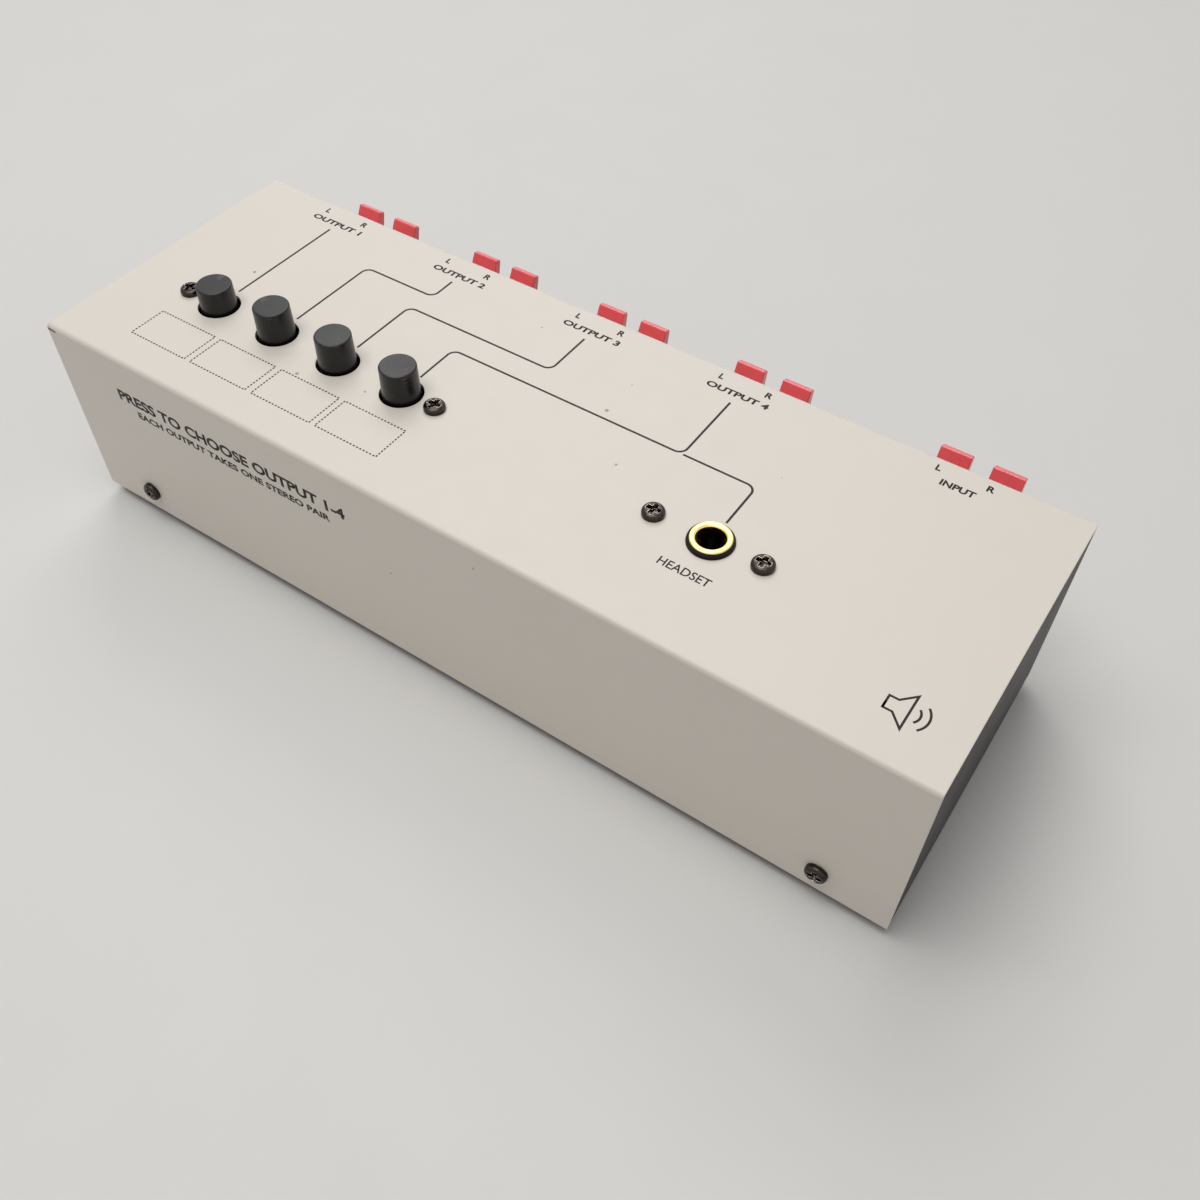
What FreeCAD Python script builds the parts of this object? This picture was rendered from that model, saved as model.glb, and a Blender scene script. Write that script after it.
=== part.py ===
import FreeCAD, Part
import math
import os

# Four-way speaker selector switch with a headphone jack.
# Frame: X runs left to right, Y from the front to the back, Z up, in millimetres.
# The origin lies under the middle of the whole object, where the feet stand.

V = FreeCAD.Vector

# ---- Sizes that can be set by themselves ---------------------------------

OVERLAP = 0.1                 # how far shapes run into each other before they are joined or cut

# Folded case
COVER_HEIGHT = 54.0
SHEET = 1.0
COVER_BEND = 1.2              # outer radius of the cover's bends
BASE_BEND = 1.5               # outer radius of the base's bends
SEAM = 0.1                    # gap between the cover and the base
LIP_HEIGHT = 10.0             # front and back lips of the base
LIP_INSET = 8.0               # from the end of the cover to the end of a lip
END_FLANGE = 8.0              # inward flange on top of each end plate
CASE_SCREW_LEFT = 19.6        # from the left end of the cover
CASE_SCREW_RIGHT = 17.6       # from its right end
CASE_SCREW_UP = 6.9           # from the cover's lower edge

# Feet
FOOT_HEIGHT = 3.5
FOOT_RADIUS = 6.0
FOOT_NECK = 2.0
FOOT_BULB = 2.7
FOOT_BULB_HEIGHT = 1.4
FOOT_INSET_X = 16.0
FOOT_INSET_Y = 14.0

# Pan-head screws, all alike
SCREW_RADIUS = 1.45
SCREW_LENGTH = 6.0
HEAD_RADIUS = 2.65
HEAD_HEIGHT = 1.6
HEAD_ROUND = 0.9
RECESS_SPAN = 3.5
RECESS_WIDTH = 1.2
RECESS_DEPTH = 1.1
RUNNING = 0.05                # radial clearance of a shank, shaft or pin
PASS_CLEARANCE = 0.25         # radial clearance of a screw through the cover

# Row of controls along the top
CONTROL_INSET = 29.75         # from the front face
FIRST_BUTTON = 30.0           # from the left end of the cover
BUTTON_PITCH = 20.0
BUTTON_COUNT = 4
LATCHED = (True, False, False, False)
SWITCH_SCREW_OUT = 10.0       # from an end button to the screw beside it
JACK_FROM_RIGHT = 65.6
JACK_SCREW_SPACING = 26.8
JACK_SCREW_SHIFT = -0.9       # middle of the two screws, from the jack's axis

# Button caps
CAP_PROUD = 8.2               # a released cap above the cover
CAP_LENGTH = 13.0
CAP_TOP_RADIUS = 4.5
CAP_BASE_RADIUS = 4.75
CAP_ROUND = 0.45
CAP_ROOF = 5.4
CAP_BORE = 3.8
CAP_HOLE_GAP = 0.65           # radial gap between a cap and its hole
TRAVEL = 3.0
LATCH_DEPTH = 1.8             # how far a latched button stays down

# Plungers and springs
STEM_RADIUS = 2.1
POST = 3.0                    # square post inside the cap
POST_HEIGHT = 3.0
COLLAR_RADIUS = 3.5
COLLAR_HEIGHT = 1.0
SLIDER_HEIGHT = 13.0
SLIDE_CLEARANCE = 0.2
SPRING_WIRE = 0.5
SPRING_RADIUS = 2.85          # to the middle of the wire
SPRING_TURNS = 5.0
SPRING_END_GAP = 0.05

# Switch frame and bodies
FRAME_SHEET = 1.2
FRAME_DROP = 8.5              # underside of the cover to the top of the web
FRAME_BEND = 0.6
FRAME_EAR = 9.0
LEG_TO_CAP = 1.2              # leg of the frame to the nearest button hole
BODY_WIDTH = 12.0
BODY_DEPTH = 15.0
BODY_WALL = 2.0
BODY_FLOOR = 1.8
FLOOR_GAP = 0.5

# Pins, contact slides and latch wires
PIN = 0.6
PIN_SPREAD = 2.5
PIN_ROWS = 4
PIN_PITCH = 4.0
FIRST_PIN_UP = 2.5
SLIDE_BRIDGE = (1.4, 0.6, 5.0)
BRIDGE_PROUD = 0.1
LATCH_WIRE = 0.35
LATCH_LOW = 1.6
LATCH_HIGH = 11.5
LATCH_REACH = 0.5
LATCH_TRACK = (3.0, 0.8)      # width and depth of the track in the slider

# Circuit board
PIN_GAP = 2.0
BOARD_THICKNESS = 1.6
BOARD_MARGIN = 4.0

# Headphone jack
JACK_BORE = 3.25
BUSH_RADIUS = 4.7
BUSH_LENGTH = 9.0
BUSH_PROUD = 1.45
COUNTERSINK = 0.75
MOUTH_DEPTH = 1.0
COLLAR_PROUD = 0.9
COLLAR_WALL = 0.5
JACK_WIDTH = 14.0
JACK_LENGTH = 31.0
JACK_FLOOR = 2.0
JACK_CAVITY = 3.6
JACK_EAR_THICKNESS = 3.0
JACK_EAR_MARGIN = 4.5
LEAF_THICKNESS = 0.4
LEAF_WIDTH = 3.0
LEAF_COUNT = 3
LEAF_PITCH = 7.4
LEAF_RISE = 5.8
LEAF_INTRUSION = 0.3          # bend of a leaf past the plug's surface
LEAF_BEND = 0.4
LEAF_TAIL = 4.0
RESISTOR_RADIUS = 1.9
RESISTOR_BODY = 9.0
RESISTOR_LEAD = 2.5
RESISTOR_LEAD_RADIUS = 0.35
RESISTOR_FROM_TAIL = 12.0

# Terminal blocks and their levers
OUTPUT_PITCH = 41.9
OUTPUT_COUNT = 4
INPUT_SPACING = 55.1          # last output block to the input block
INPUT_FROM_RIGHT = 29.2
LEVER_PITCH = 13.0
LEVER_WIDTH = 8.0
LEVER_SIDE = 0.3
LEVER_REACH = 13.4
LEVER_RISE = 7.2              # outer top edge above the pivot
LEVER_TOP_WIDTH = 1.85
LEVER_TOP_SLOPE = 22.0
LEVER_INNER_LEAN = 62.0
LEVER_OUTER_LEAN = 78.0
LEVER_ROUND = 0.45
LEVER_EDGE = 0.25
ARM = 2.0
PRESS_ANGLE = 18.0
SWING_MARGIN = 0.29
PIVOT_OUT = 0.5
PIVOT_RADIUS = 0.9
PIVOT_STUB = 0.9
HOOK_THICKNESS = 1.4
HOOK_START = 0.9
HOOK_LEAN = 9.0
HOOK_TIP_GAP = 0.7
WIRE_HOLE = 5.0
NOSE_CHAMFER = 0.5
ROW_WEB = 4.2                 # plastic between the upper and lower rows
NOSE_LENGTH = 7.0
NOSE_WALL = 1.1
NOSE_SIDE_WALL = 1.4
BLOCK_REAR = 12.0
BLOCK_WALL = 1.4
BLOCK_FLANGE = 2.0
BLOCK_FLANGE_WIDTH = 39.0
BLOCK_FLANGE_OVERLAP = 1.0
BLOCK_CORNER = 1.5
BLOCK_SCREW_SPACING = 32.0
ARM_HEADROOM = 0.9
WINDOW_GAP = 0.2
CONTACT = 0.4
CONTACT_WIDTH = 3.4
TAIL_LENGTH = 4.5
TAIL_WIDTH = 2.0
CONTACT_LEAF_HEIGHT = 6.5
CONTACT_LEAF_BACK = 1.6
CONTACT_BEND = 0.8

# Wiring
WIRE_DIAMETER = 1.5
WIRE_GAP = 0.3
WIRE_LEAD = 3.875
WIRE_BEND = 3.5
JOINT_PITCH = 7.9             # between wire joints along the board
PHONES_JOINT = 13.0           # last button to the headphone joints on the board

# ---- Places worked out from those sizes ----------------------------------

CHANNELS = OUTPUT_COUNT + 1
WIRES_PER_ROW = 2 * CHANNELS
WIRE_PITCH = WIRE_DIAMETER + WIRE_GAP
COVER_WIDTH = FIRST_BUTTON + (OUTPUT_COUNT - 1) * OUTPUT_PITCH + INPUT_SPACING + INPUT_FROM_RIGHT
WIRE_BAY = 2 * WIRE_LEAD + (WIRES_PER_ROW - 1) * WIRE_PITCH
COVER_DEPTH = (CONTROL_INSET + BODY_DEPTH / 2 + PIN_GAP + BOARD_THICKNESS + WIRE_BAY
               + TAIL_LENGTH + BLOCK_REAR)

LEFT_X = -COVER_WIDTH / 2
RIGHT_X = COVER_WIDTH / 2
FRONT_Y = (HEAD_HEIGHT - COVER_DEPTH - LEVER_REACH) / 2
BACK_Y = FRONT_Y + COVER_DEPTH
TOP_Z = FOOT_HEIGHT + COVER_HEIGHT
UNDER_TOP_Z = TOP_Z - SHEET
FLOOR_Z = FOOT_HEIGHT + SHEET

CONTROL_Y = FRONT_Y + CONTROL_INSET
BUTTON_X = [LEFT_X + FIRST_BUTTON + i * BUTTON_PITCH for i in range(BUTTON_COUNT)]
BUTTON_HOLE = CAP_BASE_RADIUS + CAP_HOLE_GAP
SWITCH_SCREW_X = [BUTTON_X[0] - SWITCH_SCREW_OUT, BUTTON_X[-1] + SWITCH_SCREW_OUT]
JACK_X = RIGHT_X - JACK_FROM_RIGHT
JACK_SCREW_MIDDLE = JACK_X + JACK_SCREW_SHIFT
JACK_SCREW_X = [JACK_SCREW_MIDDLE + side * JACK_SCREW_SPACING / 2 for side in (-1, 1)]
JACK_COLLAR = BUSH_RADIUS + RUNNING + COLLAR_WALL

WEB_TOP_Z = UNDER_TOP_Z - FRAME_DROP
BODY_TOP_Z = WEB_TOP_Z - FRAME_SHEET
BODY_BOTTOM_Z = BODY_TOP_Z - SLIDER_HEIGHT - TRAVEL - FLOOR_GAP - BODY_FLOOR
COLLAR_TOP_Z = TOP_Z + CAP_PROUD - CAP_ROOF        # with the button released
COLLAR_BOTTOM_Z = COLLAR_TOP_Z - COLLAR_HEIGHT
SLIDER_WIDTH = BODY_WIDTH - 2 * BODY_WALL - 2 * SLIDE_CLEARANCE
SLIDER_DEPTH = BODY_DEPTH - 2 * BODY_WALL - 2 * SLIDE_CLEARANCE
SLIDER_BOTTOM_Z = BODY_TOP_Z - SLIDER_HEIGHT
BODY_BACK_Y = CONTROL_Y + BODY_DEPTH / 2
BODY_FRONT_Y = CONTROL_Y - BODY_DEPTH / 2
BOARD_FRONT_Y = BODY_BACK_Y + PIN_GAP
BOARD_BACK_Y = BOARD_FRONT_Y + BOARD_THICKNESS
PIN_Z = [BODY_BOTTOM_Z + FIRST_PIN_UP + i * PIN_PITCH for i in range(PIN_ROWS)]

BLOCK_Z = FOOT_HEIGHT + COVER_HEIGHT / 2
BLOCK_NAMES = [f"out{i + 1}" for i in range(OUTPUT_COUNT)] + ["input"]
BLOCK_X = [LEFT_X + FIRST_BUTTON + i * OUTPUT_PITCH for i in range(OUTPUT_COUNT)]
BLOCK_X.append(BLOCK_X[-1] + INPUT_SPACING)
LEVER_X = [x + side * LEVER_PITCH / 2 for x in BLOCK_X for side in (-1, 1)]
CHAMBER_WIDTH = LEVER_WIDTH + 2 * LEVER_SIDE
CHAMBER_FLOOR = ROW_WEB / 2
HOLE_UP = CHAMBER_FLOOR + CONTACT + WIRE_HOLE / 2
NOSE_TOP = HOLE_UP + WIRE_HOLE / 2 + NOSE_WALL
ARM_SWING = (NOSE_LENGTH - PIVOT_OUT) * math.tan(math.radians(PRESS_ANGLE))
PIVOT_UP = NOSE_TOP + ARM_SWING + SWING_MARGIN + ARM / 2
CHAMBER_CEILING = PIVOT_UP + ARM / 2 + ARM_HEADROOM
BLOCK_HALF_HEIGHT = CHAMBER_CEILING + BLOCK_WALL
BLOCK_HALF_WIDTH = LEVER_PITCH / 2 + CHAMBER_WIDTH / 2 + BLOCK_WALL
FLANGE_HALF_HEIGHT = BLOCK_HALF_HEIGHT + BLOCK_FLANGE_OVERLAP
SLOT_BOTTOM = PIVOT_UP - ARM / 2 - ARM_HEADROOM - SWING_MARGIN
TAIL_END_Y = BACK_Y - BLOCK_REAR - TAIL_LENGTH
WIRE_UP = CHAMBER_FLOOR + CONTACT / 2


# ---- Shapes used more than once ------------------------------------------

def box(x0, x1, y0, y1, z0, z1):
    return Part.makeBox(x1 - x0, y1 - y0, z1 - z0, V(x0, y0, z0))


def rod(radius, start, end):
    return Part.makeCylinder(radius, (end - start).Length, start, end - start)


def rounded_edges(points, radii, closed=False):
    """Straight runs through the points, joined by an arc of its own radius at each corner."""
    count = len(points)
    corners = range(count) if closed else range(1, count - 1)
    joints = []
    for i in corners:
        here = points[i]
        back, ahead = points[i - 1] - here, points[(i + 1) % count] - here
        room = 0.45 * min(back.Length, ahead.Length)
        back.normalize()
        ahead.normalize()
        half = back.getAngle(ahead) / 2
        radius = min(radii[i], room * math.tan(half))
        start = here + back * (radius / math.tan(half))
        end = here + ahead * (radius / math.tan(half))
        middle = here + (back + ahead).normalize() * (radius / math.sin(half) - radius)
        joints.append((start, Part.Arc(start, middle, end).toShape(), end))
    leaves = [end for _, _, end in joints]
    enters = [start for start, _, _ in joints]
    if closed:
        enters = enters[1:] + enters[:1]
    else:
        leaves.insert(0, points[0])
        enters.append(points[-1])
    runs = [Part.LineSegment(a, b).toShape() for a, b in zip(leaves, enters)]
    return runs + [arc for _, arc, _ in joints]


def wire_of(edges):
    return Part.Wire(Part.__sortEdges__(edges))


def plate(points, radius, direction):
    """A flat closed outline with rounded corners, extruded along direction."""
    outline = wire_of(rounded_edges(points, [radius] * len(points), closed=True))
    return Part.Face(outline).extrude(direction)


def folded(points, thickness, inner_radius, direction):
    """Sheet metal bent along points. It is thickened to the left of the path,
    as seen with direction pointing at the viewer, and extruded along it."""
    normal = V(direction).normalize()
    runs = [(b - a).normalize() for a, b in zip(points, points[1:])]
    sides = [normal.cross(run) for run in runs]
    lefts = [before.cross(after).dot(normal) > 0 for before, after in zip(runs, runs[1:])]
    moved = [points[0] + sides[0] * thickness]
    for point, before, after in zip(points[1:], sides, sides[1:]):
        moved.append(point + (before + after) * (thickness / (1 + before.dot(after))))
    moved.append(points[-1] + sides[-1] * thickness)
    outer_radius = inner_radius + thickness
    radii = [0] + [outer_radius if left else inner_radius for left in lefts] + [0]
    moved_radii = [0] + [inner_radius if left else outer_radius for left in lefts] + [0]
    ends = [Part.LineSegment(points[i], moved[i]).toShape() for i in (0, -1)]
    edges = rounded_edges(points, radii) + rounded_edges(moved, moved_radii) + ends
    return Part.Face(wire_of(edges)).extrude(direction)


def tube(points, radius, bend):
    path = wire_of(rounded_edges(points, [bend] * len(points)))
    section = Part.Wire([Part.makeCircle(radius, points[0], points[1] - points[0])])
    return path.makePipeShell([section], True, False)


def mirrored_down(shape):
    """The same shape on the lower side of a terminal block's middle."""
    return shape.mirror(V(0, 0, BLOCK_Z), V(0, 0, 1))


def fused(shapes):
    return shapes[0].multiFuse(shapes[1:]).removeSplitter()


# ---- Case ----------------------------------------------------------------

def case_screw_places():
    z = FOOT_HEIGHT + CASE_SCREW_UP
    xs = (LEFT_X + CASE_SCREW_LEFT, RIGHT_X - CASE_SCREW_RIGHT)
    return [(V(x, y, z), V(0, side, 0)) for x in xs for y, side in ((FRONT_Y, -1), (BACK_Y, 1))]


def top_screw_places():
    return [(V(x, CONTROL_Y, TOP_Z), V(0, 0, 1)) for x in SWITCH_SCREW_X + JACK_SCREW_X]


def block_screw_places():
    return [(V(x + side * BLOCK_SCREW_SPACING / 2, BACK_Y + BLOCK_FLANGE, BLOCK_Z), V(0, 1, 0))
            for x in BLOCK_X for side in (-1, 1)]


def cover():
    """Front, top and back, folded from one sheet and open at both ends."""
    inner = [V(LEFT_X, FRONT_Y + SHEET, FOOT_HEIGHT), V(LEFT_X, FRONT_Y + SHEET, UNDER_TOP_Z),
             V(LEFT_X, BACK_Y - SHEET, UNDER_TOP_Z), V(LEFT_X, BACK_Y - SHEET, FOOT_HEIGHT)]
    shell = folded(inner, SHEET, COVER_BEND - SHEET, V(COVER_WIDTH, 0, 0))
    cuts = [rod(SCREW_RADIUS + PASS_CLEARANCE, spot - way * 2 * SHEET, spot + way)
            for spot, way in case_screw_places() + top_screw_places()]
    cuts += [rod(SCREW_RADIUS + RUNNING, spot - way * (BLOCK_FLANGE + 2 * SHEET), spot)
             for spot, way in block_screw_places()]
    cuts += [rod(BUTTON_HOLE, V(x, CONTROL_Y, UNDER_TOP_Z - SHEET), V(x, CONTROL_Y, TOP_Z + SHEET))
             for x in BUTTON_X]
    cuts.append(rod(JACK_COLLAR + SEAM, V(JACK_X, CONTROL_Y, UNDER_TOP_Z - SHEET),
                    V(JACK_X, CONTROL_Y, TOP_Z + SHEET)))
    wide = BLOCK_HALF_WIDTH + WINDOW_GAP
    high = BLOCK_HALF_HEIGHT + WINDOW_GAP
    cuts += [box(x - wide, x + wide, BACK_Y - 2 * SHEET, BACK_Y + SHEET, BLOCK_Z - high, BLOCK_Z + high)
             for x in BLOCK_X]
    return shell.cut(cuts)


def base_chassis():
    """Bottom and end plates in one fold, flush with the cover's ends, with lips and top flanges."""
    left, right = LEFT_X + SHEET, RIGHT_X - SHEET
    flange_z = UNDER_TOP_Z - SEAM - SHEET
    ends = [V(left + END_FLANGE, FRONT_Y, flange_z), V(left, FRONT_Y, flange_z),
            V(left, FRONT_Y, FLOOR_Z), V(right, FRONT_Y, FLOOR_Z),
            V(right, FRONT_Y, flange_z), V(right - END_FLANGE, FRONT_Y, flange_z)]
    shell = folded(ends, SHEET, BASE_BEND - SHEET, V(0, COVER_DEPTH, 0))
    wall = SHEET + SEAM
    corner = COVER_BEND + SEAM
    middle_y = (FRONT_Y + BACK_Y) / 2
    for depth, low in ((wall, 0), (corner, TOP_Z - corner)):
        relief = box(LEFT_X - OVERLAP, RIGHT_X + OVERLAP, FRONT_Y - OVERLAP, FRONT_Y + depth, low, TOP_Z)
        shell = shell.cut([relief, relief.mirror(V(0, middle_y, 0), V(0, 1, 0))])
    front, back = FRONT_Y + wall + SHEET, BACK_Y - wall - SHEET
    lip_left = LEFT_X + LIP_INSET
    lip_top = FOOT_HEIGHT + LIP_HEIGHT
    lips = [V(lip_left, back, lip_top), V(lip_left, back, FLOOR_Z),
            V(lip_left, front, FLOOR_Z), V(lip_left, front, lip_top)]
    tray = folded(lips, SHEET, BASE_BEND - SHEET, V(COVER_WIDTH - 2 * LIP_INSET, 0, 0))
    strip = box(lip_left, -lip_left, FRONT_Y, front + BASE_BEND, 0, FLOOR_Z + BASE_BEND)
    shell = shell.cut([strip, strip.mirror(V(0, middle_y, 0), V(0, 1, 0))])
    shell = fused([shell, tray])
    holes = [rod(SCREW_RADIUS + RUNNING, spot - way * SCREW_LENGTH, spot)
             for spot, way in case_screw_places()]
    holes += [rod(FOOT_NECK + RUNNING, V(x, y, 0), V(x, y, FLOOR_Z + SHEET)) for x, y in foot_places()]
    return shell.cut(holes)


def foot_places():
    xs = (LEFT_X + FOOT_INSET_X, RIGHT_X - FOOT_INSET_X)
    ys = (FRONT_Y + FOOT_INSET_Y, BACK_Y - FOOT_INSET_Y)
    return [(x, y) for x in xs for y in ys]


def rubber_feet():
    """Push-in feet: a round pad, a neck through the base and a bulb inside."""
    feet = []
    for x, y in foot_places():
        pad = Part.makeCylinder(FOOT_RADIUS, FOOT_HEIGHT, V(x, y, 0))
        pad = pad.makeFillet(FOOT_HEIGHT / 4, [e for e in pad.Edges if e.BoundBox.ZMax < OVERLAP])
        neck = rod(FOOT_NECK, V(x, y, FOOT_HEIGHT - OVERLAP), V(x, y, FLOOR_Z + OVERLAP))
        bulb = Part.makeCone(FOOT_BULB, FOOT_NECK, FOOT_BULB_HEIGHT, V(x, y, FLOOR_Z))
        feet.append(fused([pad, neck, bulb]))
    return Part.makeCompound(feet)


def screw(seat, way):
    """Pan head on its seat, cross recess, and a plain shank behind it."""
    head = Part.makeCylinder(HEAD_RADIUS, HEAD_HEIGHT)
    head = head.makeFillet(HEAD_ROUND, [e for e in head.Edges if e.BoundBox.ZMin > HEAD_HEIGHT - OVERLAP])
    shank = Part.makeCylinder(SCREW_RADIUS, SCREW_LENGTH + OVERLAP, V(0, 0, -SCREW_LENGTH))
    half, thin = RECESS_SPAN / 2, RECESS_WIDTH / 2
    floor = HEAD_HEIGHT - RECESS_DEPTH
    cross = box(-half, half, -thin, thin, floor, HEAD_HEIGHT).fuse(
        box(-thin, thin, -half, half, floor, HEAD_HEIGHT))
    taper = Part.makeCone(RECESS_WIDTH, half, RECESS_DEPTH, V(0, 0, floor))
    body = fused([head, shank]).cut(cross.common(taper))
    body.Placement = FreeCAD.Placement(seat, FreeCAD.Rotation(V(0, 0, 1), way))
    return body


def panel_screws():
    places = case_screw_places() + top_screw_places() + block_screw_places()
    return Part.makeCompound([screw(seat, way) for seat, way in places])


# ---- Push switches -------------------------------------------------------

def switch_frame():
    """Steel strip with two ears under the cover and a web over the bodies."""
    leg_left = BUTTON_X[0] - BUTTON_HOLE - LEG_TO_CAP
    leg_right = BUTTON_X[-1] + BUTTON_HOLE + LEG_TO_CAP
    front = CONTROL_Y - BODY_DEPTH / 2
    ear_z = UNDER_TOP_Z
    path = [V(SWITCH_SCREW_X[0] - FRAME_EAR / 2, front, ear_z), V(leg_left, front, ear_z),
            V(leg_left, front, WEB_TOP_Z), V(leg_right, front, WEB_TOP_Z),
            V(leg_right, front, ear_z), V(SWITCH_SCREW_X[1] + FRAME_EAR / 2, front, ear_z)]
    strip = folded(path, FRAME_SHEET, FRAME_BEND, V(0, BODY_DEPTH, 0))
    holes = [rod(STEM_RADIUS + RUNNING, V(x, CONTROL_Y, BODY_TOP_Z - SHEET), V(x, CONTROL_Y, TOP_Z))
             for x in BUTTON_X]
    holes += [rod(SCREW_RADIUS + RUNNING, V(x, CONTROL_Y, WEB_TOP_Z), V(x, CONTROL_Y, TOP_Z))
              for x in SWITCH_SCREW_X]
    return strip.cut(holes)


def pin_boxes(x, clearance):
    """Pins of one switch, from its cavity to the back of the board."""
    half = PIN / 2 + clearance
    start = BODY_BACK_Y - BODY_WALL - clearance
    return [box(x + side * PIN_SPREAD - half, x + side * PIN_SPREAD + half,
                start, BOARD_BACK_Y + clearance, z - half, z + half)
            for side in (-1, 1) for z in PIN_Z]


def switch_body(x):
    half_w, half_d = BODY_WIDTH / 2, BODY_DEPTH / 2
    outer = box(x - half_w, x + half_w, CONTROL_Y - half_d, CONTROL_Y + half_d, BODY_BOTTOM_Z, BODY_TOP_Z)
    cavity = box(x - half_w + BODY_WALL, x + half_w - BODY_WALL,
                 CONTROL_Y - half_d + BODY_WALL, CONTROL_Y + half_d - BODY_WALL,
                 BODY_BOTTOM_Z + BODY_FLOOR, BODY_TOP_Z)
    hole = LATCH_WIRE + RUNNING
    low = V(x, BODY_FRONT_Y, BODY_BOTTOM_Z + LATCH_LOW)
    high = V(x, BODY_FRONT_Y, BODY_BOTTOM_Z + LATCH_HIGH)
    latch_holes = [rod(hole, low, low + V(0, BODY_WALL / 2, 0)), rod(hole, high, high + V(0, BODY_WALL, 0))]
    return outer.cut([cavity] + latch_holes + pin_boxes(x, RUNNING))


def plunger_drop(latched):
    return LATCH_DEPTH if latched else 0.0


def bridge_places(x):
    """Centres of the two contact bridges on the back of a slider."""
    y = CONTROL_Y + SLIDER_DEPTH / 2 + BRIDGE_PROUD - SLIDE_BRIDGE[1] / 2
    z = SLIDER_BOTTOM_Z + SLIDER_HEIGHT / 2
    return [V(x + side * PIN_SPREAD, y, z) for side in (-1, 1)]


def block_at(centre, size, clearance=0.0):
    sx, sy, sz = [length / 2 + clearance for length in size]
    return box(centre.x - sx, centre.x + sx, centre.y - sy, centre.y + sy, centre.z - sz, centre.z + sz)


def contact_slide(x, latched):
    bridges = Part.makeCompound([block_at(place, SLIDE_BRIDGE) for place in bridge_places(x)])
    bridges.translate(V(0, 0, -plunger_drop(latched)))
    return bridges


def plunger(x, latched):
    """Square post, collar, round stem and the slider, in one moulding."""
    post = box(x - POST / 2, x + POST / 2, CONTROL_Y - POST / 2, CONTROL_Y + POST / 2,
               COLLAR_TOP_Z - OVERLAP, COLLAR_TOP_Z + POST_HEIGHT)
    collar = rod(COLLAR_RADIUS, V(x, CONTROL_Y, COLLAR_BOTTOM_Z), V(x, CONTROL_Y, COLLAR_TOP_Z))
    stem = rod(STEM_RADIUS, V(x, CONTROL_Y, BODY_TOP_Z - OVERLAP),
               V(x, CONTROL_Y, COLLAR_BOTTOM_Z + OVERLAP))
    slider = box(x - SLIDER_WIDTH / 2, x + SLIDER_WIDTH / 2,
                 CONTROL_Y - SLIDER_DEPTH / 2, CONTROL_Y + SLIDER_DEPTH / 2, SLIDER_BOTTOM_Z, BODY_TOP_Z)
    pockets = [block_at(place, SLIDE_BRIDGE) for place in bridge_places(x)]
    track_width, track_depth = LATCH_TRACK
    tip_z = BODY_BOTTOM_Z + LATCH_HIGH
    slack = 2 * LATCH_WIRE
    pockets.append(box(x - track_width / 2, x + track_width / 2, CONTROL_Y - SLIDER_DEPTH / 2 - OVERLAP,
                       CONTROL_Y - SLIDER_DEPTH / 2 + track_depth, tip_z - slack, tip_z + TRAVEL + slack))
    moulding = fused([post, collar, stem, slider]).cut(pockets)
    moulding.translate(V(0, 0, -plunger_drop(latched)))
    return moulding


def button_cap(x, latched):
    """Round cap with a slight taper, hollow below to house the spring."""
    top = TOP_Z + CAP_PROUD
    low = top - CAP_LENGTH
    outer = Part.makeCone(CAP_BASE_RADIUS, CAP_TOP_RADIUS, CAP_LENGTH, V(x, CONTROL_Y, low))
    outer = outer.makeFillet(CAP_ROUND, [e for e in outer.Edges if e.BoundBox.ZMin > top - OVERLAP])
    bore = rod(CAP_BORE, V(x, CONTROL_Y, low - OVERLAP), V(x, CONTROL_Y, COLLAR_TOP_Z))
    half = POST / 2 + RUNNING
    socket = box(x - half, x + half, CONTROL_Y - half, CONTROL_Y + half,
                 COLLAR_TOP_Z - OVERLAP, COLLAR_TOP_Z + POST_HEIGHT + RUNNING)
    cap = outer.cut([bore, socket])
    cap.translate(V(0, 0, -plunger_drop(latched)))
    return cap


def switch_spring(x, latched):
    """Return spring around the stem, between the web and the collar."""
    low = WEB_TOP_Z + SPRING_WIRE / 2 + SPRING_END_GAP
    high = COLLAR_BOTTOM_Z - plunger_drop(latched) - SPRING_WIRE / 2 - SPRING_END_GAP
    helix = Part.makeHelix((high - low) / SPRING_TURNS, high - low, SPRING_RADIUS)
    section = Part.Wire([Part.makeCircle(SPRING_WIRE / 2, V(SPRING_RADIUS, 0, 0), V(0, 1, 0))])
    coil = Part.Wire(helix.Edges).makePipeShell([section], True, True)
    coil.translate(V(x, CONTROL_Y, low))
    return coil


def latch_wires():
    """Bent wires that catch in the track of each slider."""
    wires = []
    for x in BUTTON_X:
        out = BODY_FRONT_Y - LATCH_WIRE
        low, high = BODY_BOTTOM_Z + LATCH_LOW, BODY_BOTTOM_Z + LATCH_HIGH
        path = [V(x, BODY_FRONT_Y + BODY_WALL / 2, low), V(x, out, low), V(x, out, high),
                V(x, BODY_FRONT_Y + BODY_WALL + SLIDE_CLEARANCE + LATCH_REACH, high)]
        wires.append(tube(path, LATCH_WIRE, LATCH_WIRE))
    return Part.makeCompound(wires)


def switch_pins():
    return Part.makeCompound([pin for x in BUTTON_X for pin in pin_boxes(x, 0.0)])


def phones_joint_x():
    return BUTTON_X[-1] + PHONES_JOINT


def board_wire_x():
    return [LEVER_X[0] + i * JOINT_PITCH for i in range(WIRES_PER_ROW)]


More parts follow.
